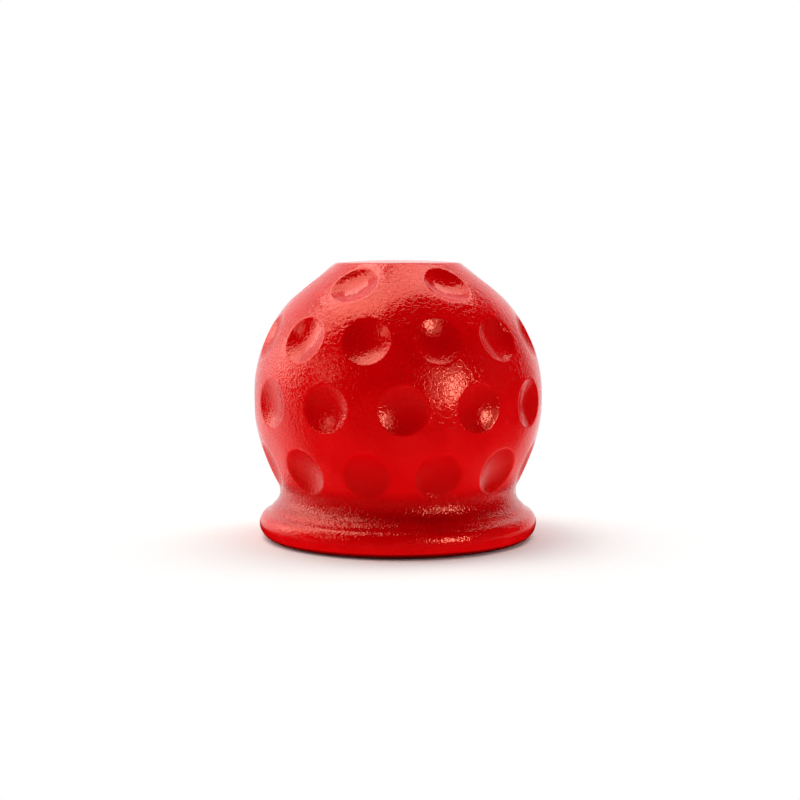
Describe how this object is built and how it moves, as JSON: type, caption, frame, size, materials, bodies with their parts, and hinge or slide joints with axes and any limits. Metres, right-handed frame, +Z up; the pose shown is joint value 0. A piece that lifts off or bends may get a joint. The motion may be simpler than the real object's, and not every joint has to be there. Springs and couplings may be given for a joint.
{
  "type": "tow ball cover",
  "caption": "Soft moulded cap shaped like a dimpled golf ball with a flat top and a rolled flange, whose socket snaps over a tow ball and keeps it clean.",
  "frame": {"origin": "centre of the flange's base face, on the axis", "axes": "+Z up the axis from the open mouth to the flat top, -Y towards the picture's camera"},
  "size_m": [0.0632, 0.0632, 0.0614],
  "materials": {
    "red_pvc": "glossy soft PVC with a fine leathery grain"
  },
  "bodies": {
    "root": {"ball_cover": "red_pvc"}
  },
  "joints": []
}
